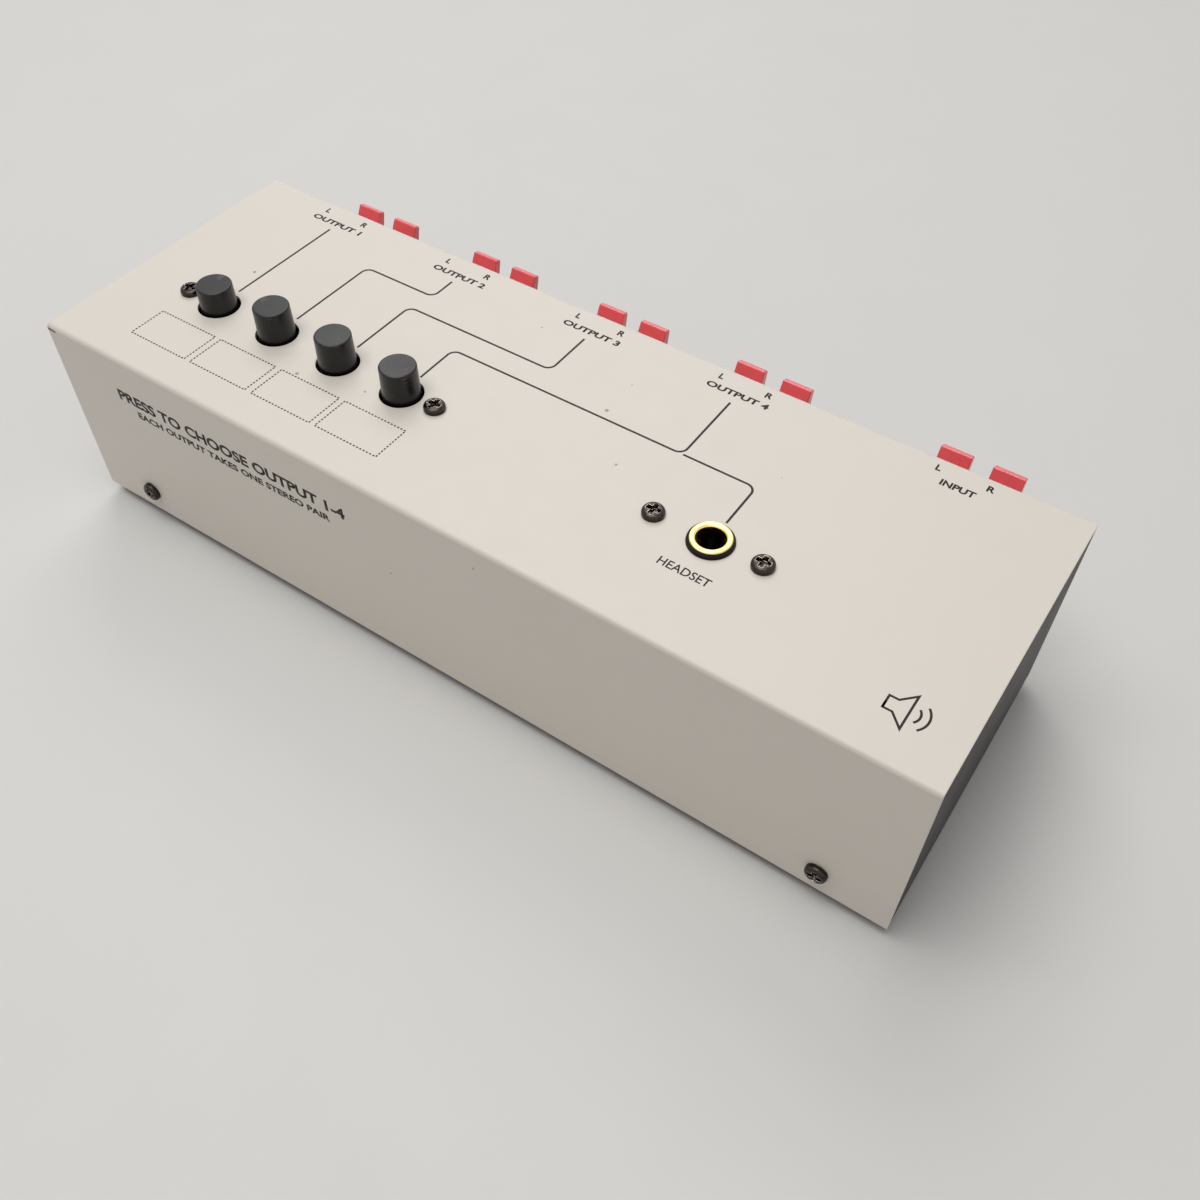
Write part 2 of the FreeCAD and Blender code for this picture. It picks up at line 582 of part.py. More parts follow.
def switch_board():
    left = min(board_wire_x()[0], BUTTON_X[0] - PIN_SPREAD) - BOARD_MARGIN
    right = max(board_wire_x()[-1], phones_joint_x()) + BOARD_MARGIN
    low = min(BODY_BOTTOM_Z, BLOCK_Z - WIRE_UP, leaf_z(0)) - BOARD_MARGIN
    board = box(left, right, BOARD_FRONT_Y, BOARD_BACK_Y, low, PIN_Z[-1] + BOARD_MARGIN / 2)
    return board.cut([hole for x in BUTTON_X for hole in pin_boxes(x, RUNNING)])


# ---- Headphone jack ------------------------------------------------------

def leaf_z(index):
    """Height of a leaf's tail, counted from the lowest leaf."""
    return UNDER_TOP_Z - JACK_LENGTH + JACK_FLOOR + SEAM + LEAF_THICKNESS + index * LEAF_PITCH


def tail_end_x():
    return JACK_X - JACK_WIDTH / 2 - LEAF_TAIL


def jack_leaf(index):
    """One leaf: tail out to the side, back along the wall, bend to the plug."""
    z = leaf_z(index)
    tail_z = z + LEAF_THICKNESS / 2
    wall = JACK_X - JACK_CAVITY - LEAF_THICKNESS
    crest = JACK_X - JACK_BORE + LEAF_INTRUSION - LEAF_THICKNESS
    front = CONTROL_Y - LEAF_WIDTH / 2
    path = [V(tail_end_x(), front, tail_z), V(wall, front, tail_z), V(wall, front, z + LEAF_RISE / 3),
            V(crest, front, z + LEAF_RISE * 2 / 3), V(wall, front, z + LEAF_RISE)]
    return folded(path, LEAF_THICKNESS, LEAF_BEND, V(0, LEAF_WIDTH, 0))


def jack_contacts():
    return Part.makeCompound([jack_leaf(i) for i in range(LEAF_COUNT)])


def jack_body():
    """Moulding under the cover: ears, collar in the hole, and the cavity."""
    half = JACK_WIDTH / 2
    bottom = UNDER_TOP_Z - JACK_LENGTH
    core = box(JACK_X - half, JACK_X + half, CONTROL_Y - half, CONTROL_Y + half, bottom, UNDER_TOP_Z)
    reach = JACK_SCREW_SPACING / 2 + JACK_EAR_MARGIN
    ears = box(JACK_SCREW_MIDDLE - reach, JACK_SCREW_MIDDLE + reach, CONTROL_Y - half, CONTROL_Y + half,
               UNDER_TOP_Z - JACK_EAR_THICKNESS, UNDER_TOP_Z)
    axis = [V(JACK_X, CONTROL_Y, z) for z in (TOP_Z + COLLAR_PROUD, UNDER_TOP_Z - OVERLAP)]
    collar = rod(JACK_COLLAR, axis[1], axis[0])
    top_edge = [e for e in collar.Edges if e.BoundBox.ZMin > TOP_Z]
    collar = collar.makeChamfer(COLLAR_WALL / 2, top_edge)
    bush_bottom = TOP_Z + BUSH_PROUD - BUSH_LENGTH
    cuts = [rod(BUSH_RADIUS + RUNNING, V(JACK_X, CONTROL_Y, bush_bottom), axis[0] + V(0, 0, SHEET)),
            rod(JACK_CAVITY, V(JACK_X, CONTROL_Y, bottom + JACK_FLOOR), V(JACK_X, CONTROL_Y, bush_bottom))]
    cuts += [rod(SCREW_RADIUS + RUNNING, V(x, CONTROL_Y, bottom), V(x, CONTROL_Y, TOP_Z))
             for x in JACK_SCREW_X]
    width = LEAF_WIDTH / 2 + SLIDE_CLEARANCE
    for i in range(LEAF_COUNT):
        z = leaf_z(i)
        cuts.append(box(JACK_X - half - OVERLAP, JACK_X, CONTROL_Y - width, CONTROL_Y + width,
                        z - LEAF_THICKNESS - SEAM, z + LEAF_THICKNESS + SEAM))
        cuts.append(box(JACK_X - JACK_CAVITY - 4 * LEAF_THICKNESS, JACK_X, CONTROL_Y - width,
                        CONTROL_Y + width, z - LEAF_THICKNESS - SEAM, z + LEAF_RISE + LEAF_THICKNESS))
    return fused([core, ears, collar]).cut(cuts)


def jack_bush():
    top = TOP_Z + BUSH_PROUD
    bottom = top - BUSH_LENGTH
    tube_wall = rod(BUSH_RADIUS, V(JACK_X, CONTROL_Y, bottom), V(JACK_X, CONTROL_Y, top))
    rim = [e for e in tube_wall.Edges if e.BoundBox.ZMin > top - OVERLAP]
    tube_wall = tube_wall.makeFillet(COUNTERSINK / 3, rim)
    bore = rod(JACK_BORE, V(JACK_X, CONTROL_Y, bottom - OVERLAP), V(JACK_X, CONTROL_Y, top))
    mouth = Part.makeCone(JACK_BORE, JACK_BORE + COUNTERSINK, MOUTH_DEPTH,
                          V(JACK_X, CONTROL_Y, top - MOUTH_DEPTH))
    return tube_wall.cut([bore, mouth])


def resistor_span():
    """X of the right and left ends of a resistor with its leads."""
    right = tail_end_x() - RESISTOR_FROM_TAIL
    return right, right - RESISTOR_BODY - 2 * RESISTOR_LEAD


def jack_resistors():
    """Dropping resistors in the two hot wires of the jack."""
    right, left = resistor_span()
    resistors = []
    for i in range(1, LEAF_COUNT):
        z = leaf_z(i)
        lead = rod(RESISTOR_LEAD_RADIUS, V(left, CONTROL_Y, z), V(right, CONTROL_Y, z))
        body = rod(RESISTOR_RADIUS, V(left + RESISTOR_LEAD, CONTROL_Y, z),
                   V(right - RESISTOR_LEAD, CONTROL_Y, z))
        rims = [e for e in body.Edges if len(e.Vertexes) == 1]
        resistors.append(fused([body.makeFillet(RESISTOR_RADIUS / 3, rims), lead]))
    return Part.makeCompound(resistors)


# ---- Terminals -----------------------------------------------------------
# A block's own places: out from the cover's back face, up from its middle.

def spot(x, out, up):
    return V(x, BACK_Y + out, BLOCK_Z + up)


def cell_cuts(x):
    """Everything cut from a block for one upper lever."""
    half = CHAMBER_WIDTH / 2
    y, z = BACK_Y, BLOCK_Z
    chamber = box(x - half, x + half, y - BLOCK_REAR, y, z + CHAMBER_FLOOR, z + CHAMBER_CEILING)
    slot = box(x - half, x + half, y - OVERLAP, y + BLOCK_FLANGE, z + SLOT_BOTTOM, z + CHAMBER_CEILING)
    hole_half, hole_z = WIRE_HOLE / 2, z + HOLE_UP
    hole = box(x - hole_half, x + hole_half, y - OVERLAP, y + NOSE_LENGTH + OVERLAP,
               hole_z - hole_half, hole_z + hole_half)
    reach = LEVER_WIDTH / 2 + PIVOT_STUB + LEVER_SIDE / 2
    socket = PIVOT_RADIUS + RUNNING
    seat = rod(socket, spot(x - reach, PIVOT_OUT, PIVOT_UP), spot(x + reach, PIVOT_OUT, PIVOT_UP))
    track = box(x - reach, x + reach, y - BLOCK_REAR, y + PIVOT_OUT,
                z + PIVOT_UP - socket, z + PIVOT_UP + socket)
    return [chamber, slot, hole, seat, track]


def terminal_block(x):
    """Flange outside the back, nose with four wire holes, box through the window."""
    wide, high = BLOCK_FLANGE_WIDTH / 2, FLANGE_HALF_HEIGHT
    corners = [spot(x + a * wide, 0, b * high) for a, b in ((-1, -1), (1, -1), (1, 1), (-1, 1))]
    flange = plate(corners, BLOCK_CORNER, V(0, BLOCK_FLANGE, 0))
    rear = box(x - BLOCK_HALF_WIDTH, x + BLOCK_HALF_WIDTH, BACK_Y - BLOCK_REAR, BACK_Y + OVERLAP,
               BLOCK_Z - BLOCK_HALF_HEIGHT, BLOCK_Z + BLOCK_HALF_HEIGHT)
    nose_half = LEVER_PITCH / 2 + WIRE_HOLE / 2 + NOSE_SIDE_WALL
    nose = box(x - nose_half, x + nose_half, BACK_Y, BACK_Y + NOSE_LENGTH,
               BLOCK_Z - NOSE_TOP, BLOCK_Z + NOSE_TOP)
    front = [e for e in nose.Edges if e.BoundBox.YMin > BACK_Y + NOSE_LENGTH - OVERLAP]
    nose = nose.makeChamfer(NOSE_CHAMFER, front)
    cuts = []
    for side in (-1, 1):
        upper = cell_cuts(x + side * LEVER_PITCH / 2)
        cuts += upper + [mirrored_down(cut) for cut in upper]
        cuts.append(rod(SCREW_RADIUS + PASS_CLEARANCE, spot(x + side * BLOCK_SCREW_SPACING / 2, -SHEET, 0),
                        spot(x + side * BLOCK_SCREW_SPACING / 2, BLOCK_FLANGE + SHEET, 0)))
    return fused([flange, rear, nose]).cut(cuts)


def lever(x):
    """Upper lever: paddle outside, arm on two stub pins, hook across the hole."""
    up_top = PIVOT_UP + LEVER_RISE
    slope = math.radians(LEVER_TOP_SLOPE)
    inner_top = (LEVER_REACH - LEVER_TOP_WIDTH * math.cos(slope), up_top + LEVER_TOP_WIDTH * math.sin(slope))
    arm_top, arm_bottom = PIVOT_UP + ARM / 2, PIVOT_UP - ARM / 2
    inner_root = inner_top[0] - (inner_top[1] - arm_top) / math.tan(math.radians(LEVER_INNER_LEAN))
    outer_root = LEVER_REACH - (up_top - arm_bottom) / math.tan(math.radians(LEVER_OUTER_LEAN))
    hook_up = HOLE_UP - WIRE_HOLE / 2 + HOOK_TIP_GAP
    lean = math.tan(math.radians(HOOK_LEAN))
    hook_front = PIVOT_OUT - HOOK_START
    hook_shift = (arm_bottom - hook_up) * lean
    outline = [(hook_front - HOOK_THICKNESS, arm_top), (inner_root, arm_top), inner_top,
               (LEVER_REACH, up_top), (outer_root, arm_bottom), (hook_front, arm_bottom),
               (hook_front - hook_shift, hook_up),
               (hook_front - hook_shift - HOOK_THICKNESS, hook_up + HOOK_THICKNESS / 2)]
    half = LEVER_WIDTH / 2
    body = plate([spot(x - half, out, up) for out, up in outline], LEVER_ROUND, V(LEVER_WIDTH, 0, 0))
    sides = [e for e in body.Edges if e.BoundBox.XLength < OVERLAP]
    body = body.makeChamfer(LEVER_EDGE, sides)
    reach = V(half + PIVOT_STUB, 0, 0)
    pivot = spot(x, PIVOT_OUT, PIVOT_UP)
    return fused([body, rod(PIVOT_RADIUS, pivot - reach, pivot + reach)])


def terminal_contact(x):
    """Brass strip on the chamber floor, with a leaf behind the hook."""
    half, tail_half = CONTACT_WIDTH / 2, TAIL_WIDTH / 2
    y, low, high = BACK_Y, BLOCK_Z + CHAMBER_FLOOR, BLOCK_Z + CHAMBER_FLOOR + CONTACT
    strip = box(x - half, x + half, y - BLOCK_REAR, y - SHEET / 2, low, high)
    tail = box(x - tail_half, x + tail_half, TAIL_END_Y, y - BLOCK_REAR + OVERLAP, low, high)
    back = CONTACT_LEAF_BACK - BLOCK_REAR
    foot = CHAMBER_FLOOR + CONTACT / 2
    path = [spot(x - half, back, foot), spot(x - half, back, foot + CONTACT_LEAF_HEIGHT),
            spot(x - half, back + CONTACT_LEAF_BACK, foot + CONTACT_LEAF_HEIGHT + CONTACT_LEAF_BACK)]
    leaf = folded(path, CONTACT, CONTACT_BEND, V(CONTACT_WIDTH, 0, 0))
    return fused([strip, tail, leaf])


def terminal_contacts():
    upper = [terminal_contact(x) for x in LEVER_X]
    return Part.makeCompound(upper + [mirrored_down(contact) for contact in upper])


# ---- Wiring --------------------------------------------------------------

def terminal_wires():
    """One flat row of wires, each in a lane of its own behind the board."""
    z = BLOCK_Z + WIRE_UP
    wires = []
    for i, (tail_x, joint_x) in enumerate(zip(LEVER_X, board_wire_x())):
        lane_y = TAIL_END_Y - WIRE_LEAD - i * WIRE_PITCH
        path = [V(tail_x, TAIL_END_Y, z), V(tail_x, lane_y, z), V(joint_x, lane_y, z),
                V(joint_x, BOARD_BACK_Y, z)]
        straight = abs(tail_x - joint_x) < WIRE_DIAMETER
        wires.append(tube([path[0], path[-1]] if straight else path, WIRE_DIAMETER / 2, WIRE_BEND))
    return wires


def phones_wire(index):
    """Jack tail to the front of the board, broken by a resistor if it is hot."""
    z = leaf_z(index)
    joint = [V(phones_joint_x(), CONTROL_Y, z), V(phones_joint_x(), BOARD_FRONT_Y, z)]
    start = V(tail_end_x(), CONTROL_Y, z)
    if index == 0:
        return [tube([start] + joint, WIRE_DIAMETER / 2, WIRE_BEND)]
    right, left = resistor_span()
    return [rod(WIRE_DIAMETER / 2, start, V(right, CONTROL_Y, z)),
            tube([V(left, CONTROL_Y, z)] + joint, WIRE_DIAMETER / 2, WIRE_BEND)]


def wires_red():
    hot = [piece for i in range(1, LEAF_COUNT) for piece in phones_wire(i)]
    return Part.makeCompound(terminal_wires() + hot)


def wires_black():
    return Part.makeCompound([mirrored_down(wire) for wire in terminal_wires()] + phones_wire(0))


# ---- All nodes -----------------------------------------------------------

def all_nodes():
    nodes = {
        "cover": cover(),
        "base_chassis": base_chassis(),
        "rubber_feet": rubber_feet(),
        "panel_screws": panel_screws(),
        "switch_frame": switch_frame(),
        "switch_board": switch_board(),
        "switch_pins": switch_pins(),
        "latch_wires": latch_wires(),
        "jack_body": jack_body(),
        "jack_bush": jack_bush(),
        "jack_contacts": jack_contacts(),
        "jack_resistors": jack_resistors(),
        "terminal_contacts": terminal_contacts(),
        "wires_red": wires_red(),
        "wires_black": wires_black(),
    }
    for number, (x, latched) in enumerate(zip(BUTTON_X, LATCHED), start=1):
        nodes[f"switch_body_{number}"] = switch_body(x)
        nodes[f"plunger_{number}"] = plunger(x, latched)
        nodes[f"contact_slide_{number}"] = contact_slide(x, latched)
        nodes[f"switch_spring_{number}"] = switch_spring(x, latched)
        nodes[f"button_cap_{number}"] = button_cap(x, latched)
    for name, x in zip(BLOCK_NAMES, BLOCK_X):
        nodes[f"terminal_block_{name}"] = terminal_block(x)
        for side, word in ((-1, "left"), (1, "right")):
            upper = lever(x + side * LEVER_PITCH / 2)
            nodes[f"lever_{name}_{word}_red"] = upper
            nodes[f"lever_{name}_{word}_black"] = mirrored_down(upper)
    return nodes


os.makedirs("parts", exist_ok=True)
for name, shape in all_nodes().items():
    shape.exportStep(f"parts/{name}.step")
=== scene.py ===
import math

import bmesh
import bpy
from mathutils import Matrix, Vector


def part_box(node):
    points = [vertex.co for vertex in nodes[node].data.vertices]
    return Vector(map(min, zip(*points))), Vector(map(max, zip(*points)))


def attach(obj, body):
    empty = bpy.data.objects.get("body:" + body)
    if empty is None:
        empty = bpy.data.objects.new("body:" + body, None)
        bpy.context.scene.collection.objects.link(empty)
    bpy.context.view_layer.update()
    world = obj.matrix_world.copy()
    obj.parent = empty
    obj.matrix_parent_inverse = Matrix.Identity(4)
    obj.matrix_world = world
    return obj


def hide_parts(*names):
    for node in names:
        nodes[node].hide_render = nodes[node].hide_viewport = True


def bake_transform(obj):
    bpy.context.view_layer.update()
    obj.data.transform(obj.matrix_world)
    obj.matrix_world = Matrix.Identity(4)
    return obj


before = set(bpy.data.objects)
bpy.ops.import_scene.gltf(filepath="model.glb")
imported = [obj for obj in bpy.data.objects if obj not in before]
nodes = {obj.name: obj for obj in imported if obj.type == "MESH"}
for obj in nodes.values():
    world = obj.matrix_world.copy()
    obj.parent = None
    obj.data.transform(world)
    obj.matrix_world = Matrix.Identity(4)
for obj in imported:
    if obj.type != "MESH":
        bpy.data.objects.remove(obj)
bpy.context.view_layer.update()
MM = 0.001

# ---- Cover ---------------------------------------------------------------
# One sheet of 1 mm steel, folded into front, top and back and open at both ends.
# It is sprayed a warm pale grey over primer, with a faint orange-peel skin, and has
# picked up a few specks of dirt and one chip at the front left corner.

(COVER_LEFT, COVER_FRONT, COVER_BASE), (_, _, COVER_TOP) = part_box("cover")
CHIP_PLACE = Vector((COVER_LEFT, COVER_FRONT, COVER_TOP)) + Vector((1.0, 0.1, -1.35)) * MM
CHIP_REACH = Vector((2.3, 0.8, 0.45)) * MM
CHIP_LUMPS = 2500.0  # per metre
CHIP_EDGE_LEAST = 0.3  # of the reach
CHIP_EDGE_SPREAD = 1.2
CHIP_SHARPNESS = 6.0
SPECK_SHARPNESS = 30.0
NOISE_MIDDLE = 0.5
NOISE_GAIN = 4.0
WANDER_TO_GRAIN = 0.06  # lumps of roughness to one of grain
# Edge mask: worn paint, and painted highlights on the base's top bends and on the screw rims.
WEAR_AND_HIGHLIGHT_GAIN = 12.0
WEAR_AND_HIGHLIGHT_LEVEL = 0.42
WEAR_AND_HIGHLIGHT_SHARPNESS = 8.0
WEAR_AND_HIGHLIGHT_SAMPLES = 4


def linear(red, green, blue):
    """A display colour from 0 to 255, as the linear colour that a shader takes."""
    shares = [value / 255 for value in (red, green, blue)]
    return [s / 12.92 if s <= 0.04045 else ((s + 0.055) / 1.055) ** 2.4 for s in shares] + [1.0]


def new_group(name, inputs, outputs):
    """An empty shader group. inputs and outputs give (name, kind, default) and (name, kind)."""
    group = bpy.data.node_groups.new(name, "ShaderNodeTree")
    for label, kind, default in inputs:
        socket = group.interface.new_socket(label, in_out="INPUT", socket_type=f"NodeSocket{kind}")
        socket.default_value = default
    for label, kind in outputs:
        group.interface.new_socket(label, in_out="OUTPUT", socket_type=f"NodeSocket{kind}")
    return group, group.nodes.new("NodeGroupInput"), group.nodes.new("NodeGroupOutput")


def feed(tree, value, socket):
    """Sets an input to a plain value, or links it to the output that gives its value."""
    if isinstance(value, bpy.types.NodeSocket):
        tree.links.new(value, socket)
    else:
        socket.default_value = value


def add_node(tree, kind, values, **modes):
    """The output of a new node in the modes given. The values go in turn to the inputs that it
    uses in those modes."""
    node = tree.nodes.new(kind)
    for mode, setting in modes.items():
        setattr(node, mode, setting)
    for socket, value in zip([socket for socket in node.inputs if socket.enabled], values):
        feed(tree, value, socket)
    return next(socket for socket in node.outputs if socket.enabled)


def math_node(tree, operation, *values, clamp=False):
    """The output of a Math node. Each value is a number or an output."""
    return add_node(tree, "ShaderNodeMath", values, operation=operation, use_clamp=clamp)


def vector_node(tree, operation, *values):
    """The output of a Vector Math node. Each value is a vector or an output."""
    return add_node(tree, "ShaderNodeVectorMath", values, operation=operation)


def mix_colour(tree, mask, first, second):
    """first where mask is 0, and second where it is 1."""
    return add_node(tree, "ShaderNodeMix", (mask, first, second), data_type="RGBA")


def object_place(tree):
    """The place of each point of the surface, in the object's own metres."""
    return tree.nodes.new("ShaderNodeTexCoord").outputs["Object"]


def noise_node(tree, scale, detail=3.0, roughness=0.5, place=None):
    """Noise laid out in the object's own metres, so that scale is in lumps per metre."""
    noise = tree.nodes.new("ShaderNodeTexNoise")
    if place is None:
        place = object_place(tree)
    for label, value in (("Vector", place), ("Scale", scale), ("Detail", detail), ("Roughness", roughness)):
        feed(tree, value, noise.inputs[label])
    return noise.outputs["Fac"]


def centred(tree, noise):
    """Noise, which keeps within about a quarter of its middle, brought to between -1 and 1."""
    return math_node(tree, "MULTIPLY", math_node(tree, "SUBTRACT", noise, NOISE_MIDDLE), NOISE_GAIN)


def above(tree, value, level, sharpness):
    """Mask of where a value is over a level. A high sharpness gives it a hard edge."""
    return math_node(tree, "MULTIPLY", math_node(tree, "SUBTRACT", value, level), sharpness, clamp=True)


def rounded_normal(tree, radius, samples):
    """The normal as it would be with each edge rounded off."""
    bevel = tree.nodes.new("ShaderNodeBevel")
    bevel.samples = samples
    tree.links.new(radius, bevel.inputs["Radius"])
    return bevel.outputs["Normal"]


def build_mottle():
    """Cloudy change of a colour, lighter and darker by Amount."""
    group, inside, out = new_group(
        "mottle", [("Color", "Color", (1, 1, 1, 1)), ("Scale", "Float", 60.0), ("Amount", "Float", 0.03)],
        [("Color", "Color")])
    cloud = centred(group, noise_node(group, inside.outputs["Scale"], detail=4.0, roughness=0.6))
    gain = math_node(group, "MULTIPLY_ADD", cloud, inside.outputs["Amount"], 1.0)
    group.links.new(vector_node(group, "SCALE", inside.outputs["Color"], gain), out.inputs["Color"])
    return group


def build_grain():
    """Fine skin of paint or moulded plastic: a height, and a roughness that wanders a little."""
    group, inside, out = new_group(
        "grain", [("Scale", "Float", 1500.0), ("Roughness", "Float", 0.5), ("Spread", "Float", 0.05)],
        [("Height", "Float"), ("Roughness", "Float")])
    scale = inside.outputs["Scale"]
    broad = centred(group, noise_node(group, math_node(group, "MULTIPLY", scale, WANDER_TO_GRAIN)))
    wander = math_node(group, "MULTIPLY_ADD", broad, inside.outputs["Spread"], inside.outputs["Roughness"],
                       clamp=True)
    group.links.new(noise_node(group, scale, detail=2.0), out.inputs["Height"])
    group.links.new(wander, out.inputs["Roughness"])
    return group


def build_specks():
    """Mask of sparse round specks: one cell in a few holds one, of its own size."""
    group, inside, out = new_group(
        "specks", [("Scale", "Float", 120.0), ("Share", "Float", 0.1), ("Size", "Float", 0.1)],
        [("Mask", "Float")])
    cells = group.nodes.new("ShaderNodeTexVoronoi")
    group.links.new(object_place(group), cells.inputs["Vector"])
    group.links.new(inside.outputs["Scale"], cells.inputs["Scale"])
    parts = group.nodes.new("ShaderNodeSeparateColor")
    group.links.new(cells.outputs["Color"], parts.inputs["Color"])
    chosen = math_node(group, "LESS_THAN", parts.outputs["Red"], inside.outputs["Share"])
    size = math_node(group, "MULTIPLY", parts.outputs["Green"], inside.outputs["Size"])
    spot = above(group, size, cells.outputs["Distance"], SPECK_SHARPNESS)
    group.links.new(math_node(group, "MULTIPLY", spot, chosen), out.inputs["Mask"])
    return group


def build_chip():
    """Mask of one ragged chip round Place. Reach is how far it goes along each axis."""
    group, inside, out = new_group(
        "chip", [("Place", "Vector", (0, 0, 0)), ("Reach", "Vector", (0.001, 0.001, 0.001))],
        [("Mask", "Float")])
    offset = vector_node(group, "SUBTRACT", object_place(group), inside.outputs["Place"])
    away = vector_node(group, "LENGTH", vector_node(group, "DIVIDE", offset, inside.outputs["Reach"]))
    edge = math_node(group, "MULTIPLY_ADD", noise_node(group, CHIP_LUMPS), CHIP_EDGE_SPREAD, CHIP_EDGE_LEAST)
    group.links.new(above(group, edge, away, CHIP_SHARPNESS), out.inputs["Mask"])
    return group


def build_wear_and_highlit_edges():
    """Mask of edges, for worn paint and for painted highlights: where a rounded normal leaves the true one,
    broken up by noise.
    """
    group, inside, out = new_group(
        "wear_and_highlit_edges", [("Radius", "Float", 0.0003), ("Scale", "Float", 900.0), ("Amount", "Float", 0.5)],
        [("Mask", "Float")])
    rounded = rounded_normal(group, inside.outputs["Radius"], WEAR_AND_HIGHLIGHT_SAMPLES)
    flat = group.nodes.new("ShaderNodeNewGeometry").outputs["Normal"]
    agreement = vector_node(group, "DOT_PRODUCT", rounded, flat)
    edge = math_node(group, "MULTIPLY", math_node(group, "SUBTRACT", 1.0, agreement), WEAR_AND_HIGHLIGHT_GAIN)
    patches = noise_node(group, inside.outputs["Scale"], detail=4.0, roughness=0.7)
    broken_up = above(group, patches, WEAR_AND_HIGHLIGHT_LEVEL, WEAR_AND_HIGHLIGHT_SHARPNESS)
    wear_and_highlight_mask = math_node(group, "MULTIPLY", math_node(group, "MULTIPLY", edge, broken_up),
                     inside.outputs["Amount"], clamp=True)
    group.links.new(wear_and_highlight_mask, out.inputs["Mask"])
    return group


GROUPS = {"mottle": build_mottle(), "grain": build_grain(), "specks": build_specks(),
          "chip": build_chip(), "wear_and_highlit_edges": build_wear_and_highlit_edges()}


def place_group(tree, name, **values):
    """A shared effect, placed in a material with its own values."""
    node = tree.nodes.new("ShaderNodeGroup")
    node.node_tree = GROUPS[name]
    for label, value in values.items():
        node.inputs[label].default_value = value
    return node


def surface(name, colour, roughness, grain=(1500.0, 0.01), spread=0.05, mottle=(60.0, 0.03), marks=(),
            soft=0.0, **settings):
    """A finish. grain gives lumps per metre and their depth in mm, spread how far the roughness
    wanders, mottle lumps per metre and their strength, and soft the radius of edges in mm.
    Each of marks gives a mask group's name, its values and a colour."""
    material = bpy.data.materials.new(name)
    material.use_nodes = True
    tree = material.node_tree
    shader = tree.nodes["Principled BSDF"]
    for label, value in settings.items():
        shader.inputs[label.replace("_", " ")].default_value = value
    mottle_scale, mottle_amount = mottle
    clouds = place_group(tree, "mottle", Color=colour, Scale=mottle_scale, Amount=mottle_amount)
    tint = clouds.outputs["Color"]
    for kind, values, mark_colour in marks:
        tint = mix_colour(tree, place_group(tree, kind, **values).outputs["Mask"], tint, mark_colour)
    tree.links.new(tint, shader.inputs["Base Color"])
    grain_scale, grain_depth = grain
    skin = place_group(tree, "grain", Scale=grain_scale, Roughness=roughness, Spread=spread)
    tree.links.new(skin.outputs["Roughness"], shader.inputs["Roughness"])
    bump = tree.nodes.new("ShaderNodeBump")
    bump.inputs["Distance"].default_value = grain_depth * MM
    tree.links.new(skin.outputs["Height"], bump.inputs["Height"])
    tree.links.new(bump.outputs["Normal"], shader.inputs["Normal"])
    if soft:
        rounded = place_group(tree, "soft_edges", Radius=soft * MM)
        tree.links.new(rounded.outputs["Normal"], bump.inputs["Normal"])
    return material


def dress(material, name):
    """Gives a CAD node a finish by its material slots."""
    for slot in nodes[name].material_slots:
        slot.material = material


cover_paint = surface(
    "cover_paint", linear(229, 221, 211), roughness=0.46, grain=(2600.0, 0.012), spread=0.04,
    mottle=(35.0, 0.008),
    marks=[("specks", {"Scale": 160.0, "Share": 0.26, "Size": 0.11}, linear(160, 149, 136)),
           ("wear_and_highlit_edges", {"Radius": 0.3 * MM, "Amount": 0.35}, linear(205, 196, 185)),
           ("chip", {"Place": CHIP_PLACE, "Reach": CHIP_REACH}, linear(66, 54, 46))])
dress(cover_paint, "cover")

# ---- Printed graphics ----------------------------------------------------
# Screen-printed in one dark brown ink on the finished paint: a line from each button
# to its output, dotted frames for paper labels, and plain legends.
# A value here that isn't times MM is in mm, in the coordinates of on_top or front_place.

BUTTON_ROW = sum(corner.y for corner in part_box("button_cap_1")) / 2
INK_THICKNESS = 0.02 * MM
LINE_WIDTH = 0.56 * MM
LINE_CORNER = 2.2 * MM
LINE_START = 6.9
MITRE_LEAST = 0.3
FRAME_STARTS = (20.1, 40.4, 60.8, 81.0)
FRAME_SIZE = Vector((18.4, 10.3))
FRAME_FRONT = -20.0
DASH_LENGTH = 0.55 * MM
DASH_GAP = 0.40 * MM
DASH_WIDTH = 0.36 * MM
OUTPUT_X = (29.9, 72.2, 113.9, 155.5)
INPUT_X = 210.9
CHANNEL_Y = 44.1
SIDE_Y = 47.9
SIDE_OFFSET = 6.4
SIDE_CAPS = 1.9
SIDE_WIDTHS = {"L": 1.25, "R": 1.8}
TITLE_X = 58.6
SIGN_CORNER = Vector((221.9, -21.3))
SIGN_BODY = [(0.6, 3.2), (0.6, 6.4), (2.6, 6.4), (5.4, 9.2), (5.4, 0.4), (2.6, 3.2), (0.6, 3.2), (0.6, 4.8)]
SIGN_WAVE_CENTRE = (5.2, 4.8)
SIGN_WAVE_RADII = (2.4, 4.2)
SIGN_WAVE_SPREAD = 45.0
SIGN_LINE = LINE_WIDTH * 0.9


def on_top(x, y):
    """A place on the cover's top in metres. x is in mm from its left end, and y from the row of buttons."""
    return Vector((COVER_LEFT, BUTTON_ROW)) + Vector((x, y)) * MM


def top_place(x, y):
    """The same place as a point in space, on the paint."""
    return Vector((*on_top(x, y), COVER_TOP))


def front_place(x, z):
    """A point of the cover's front in metres. x is in mm from its left end, and z from its lower edge."""
    return Vector((COVER_LEFT + x * MM, COVER_FRONT, COVER_BASE + z * MM))


def new_object(name, mesh, material, body="case"):
    """A piece in its finish. It rides on a body, unless body is None."""
    piece = bpy.data.objects.new(name, mesh)
    bpy.context.scene.collection.objects.link(piece)
    mesh.materials.clear()
    mesh.materials.append(material)
    if body:
        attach(piece, body)
    return piece


